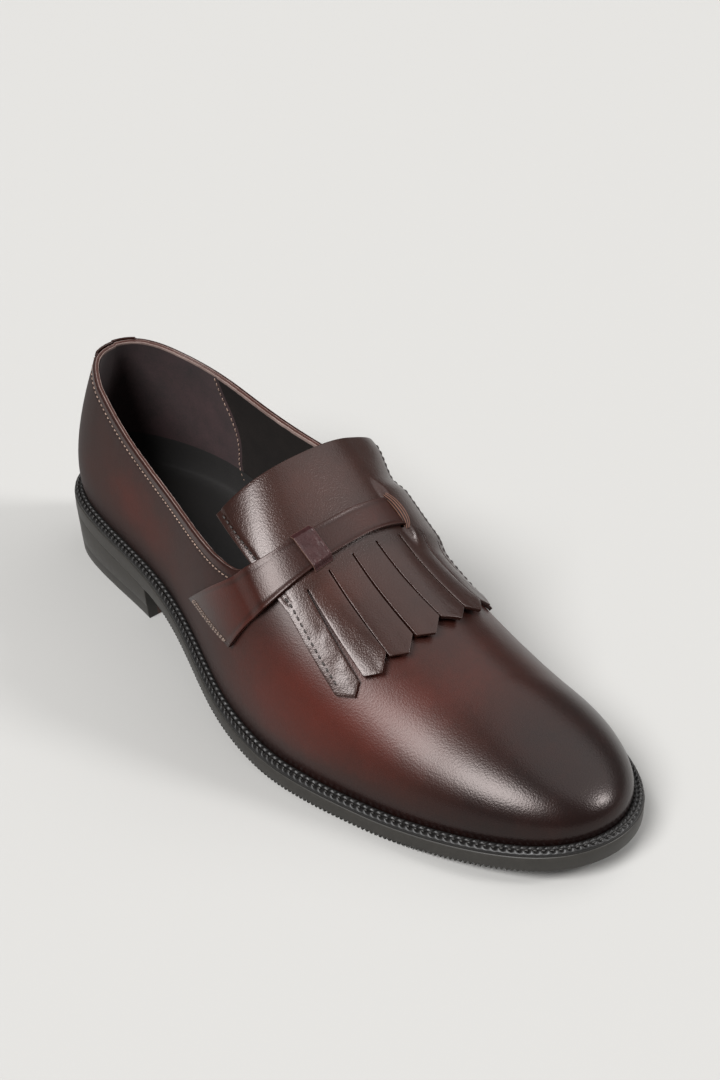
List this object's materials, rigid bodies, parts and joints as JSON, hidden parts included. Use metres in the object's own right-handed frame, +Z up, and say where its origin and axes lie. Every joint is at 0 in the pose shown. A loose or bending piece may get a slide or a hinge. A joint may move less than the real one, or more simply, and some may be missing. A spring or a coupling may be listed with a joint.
{
  "type": "leather loafer",
  "caption": "Men's slip-on loafer in burnished reddish brown leather, with a fringed tongue under a saddle strap with a keeper, a black welt and a low rubber heel.",
  "frame": {"origin": "on the floor, under the middle of the shoe's box", "axes": "+Z up, +Y towards the heel, -Y towards the toe, -X towards the outer side of the foot"},
  "size_m": [0.1058, 0.2998, 0.1003],
  "materials": {
    "sole_rubber": "smooth dark grey rubber, satin",
    "welt_rubber": "black, gimped, matt",
    "sock_leather": "black sock leather, matt",
    "burnished_leather": "hand-burnished reddish brown, semi-gloss",
    "dark_leather": "dark burgundy, semi-gloss"
  },
  "bodies": {
    "root": {"outsole": "sole_rubber", "heel": "sole_rubber", "welt": "welt_rubber", "insole": "sock_leather", "upper": "burnished_leather", "fringed_tongue": "dark_leather", "saddle_strap": "burnished_leather", "strap_keeper": "dark_leather"}
  },
  "joints": []
}
